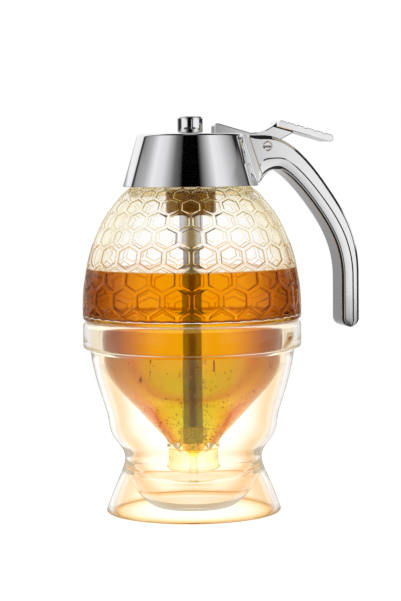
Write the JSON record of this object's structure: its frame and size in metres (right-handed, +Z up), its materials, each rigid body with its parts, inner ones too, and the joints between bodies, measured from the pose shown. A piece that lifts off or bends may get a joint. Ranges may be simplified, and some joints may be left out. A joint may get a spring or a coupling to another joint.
{
  "type": "honey dispenser",
  "caption": "Glass honey dispenser: a funnel jar hangs in a waisted glass stand, and a steel cap with a side handle and thumb lever lifts the stopper rod",
  "frame": {"origin": "the middle of the stand's foot, on the surface that it stands on", "axes": "+Z is up along the jar's axis, +X points from the axis to the handle, +Y is across the handle"},
  "size_m": [0.1119, 0.0872, 0.1574],
  "materials": {
    "stand_glass": "clear pressed glass",
    "jar_glass": "clear pressed glass with a relief of hexagons",
    "honey": "clear amber honey, the jar's contents in the visual model",
    "polished_steel": "mirror polished stainless sheet and bar",
    "polished_casting": "polished die casting, chromed",
    "satin_steel": "turned stainless steel",
    "liner_plastic": "moulded, food safe",
    "gasket_silicone": "translucent silicone",
    "stopper_silicone": "translucent silicone"
  },
  "bodies": {
    "stand": {"stand": "stand_glass"},
    "jar": {"jar": "jar_glass"},
    "cap": {"cap_shell": "polished_steel", "cap_liner": "liner_plastic", "cap_gasket": "gasket_silicone", "spring_housing": "satin_steel", "guide_sleeve": "satin_steel", "upper_bush": "liner_plastic", "lower_bush": "liner_plastic", "handle": "polished_casting", "handle_screws": "satin_steel", "pivot_pin": "polished_steel", "return_spring": "satin_steel"},
    "lever": {"lever": "polished_casting", "lift_fork": "satin_steel", "fork_screw": "satin_steel"},
    "plunger": {"plunger_rod": "satin_steel", "knob": "polished_steel", "lift_collar": "satin_steel", "collar_screw": "satin_steel", "spring_seat": "satin_steel", "seat_clip": "satin_steel", "stopper": "stopper_silicone"}
  },
  "joints": [
    {"name": "jar_lift", "type": "slide", "parent": "stand", "child": "jar", "axis": [0, 0, 1], "range_m": [0, 0.08]},
    {"name": "cap_turn", "type": "hinge", "parent": "jar", "child": "cap", "pos_m": [0, 0, 0.135], "axis": [0, 0, 1], "range_deg": [0, 45]},
    {"name": "lever_press", "type": "hinge", "parent": "cap", "child": "lever", "pos_m": [0.03, 0, 0.1454], "axis": [0, 1, 0], "range_deg": [0, 8]},
    {"name": "plunger_lift", "type": "slide", "parent": "cap", "child": "plunger", "axis": [0, 0, 1], "range_m": [0, 0.00427], "stiffness_N_per_m": 600, "springref_m": -0.004, "deforming": ["return_spring"]}
  ],
  "couplings": [
    {"joint": "lever_press", "follows": "plunger_lift", "rad_per_m": 32.68}
  ]
}
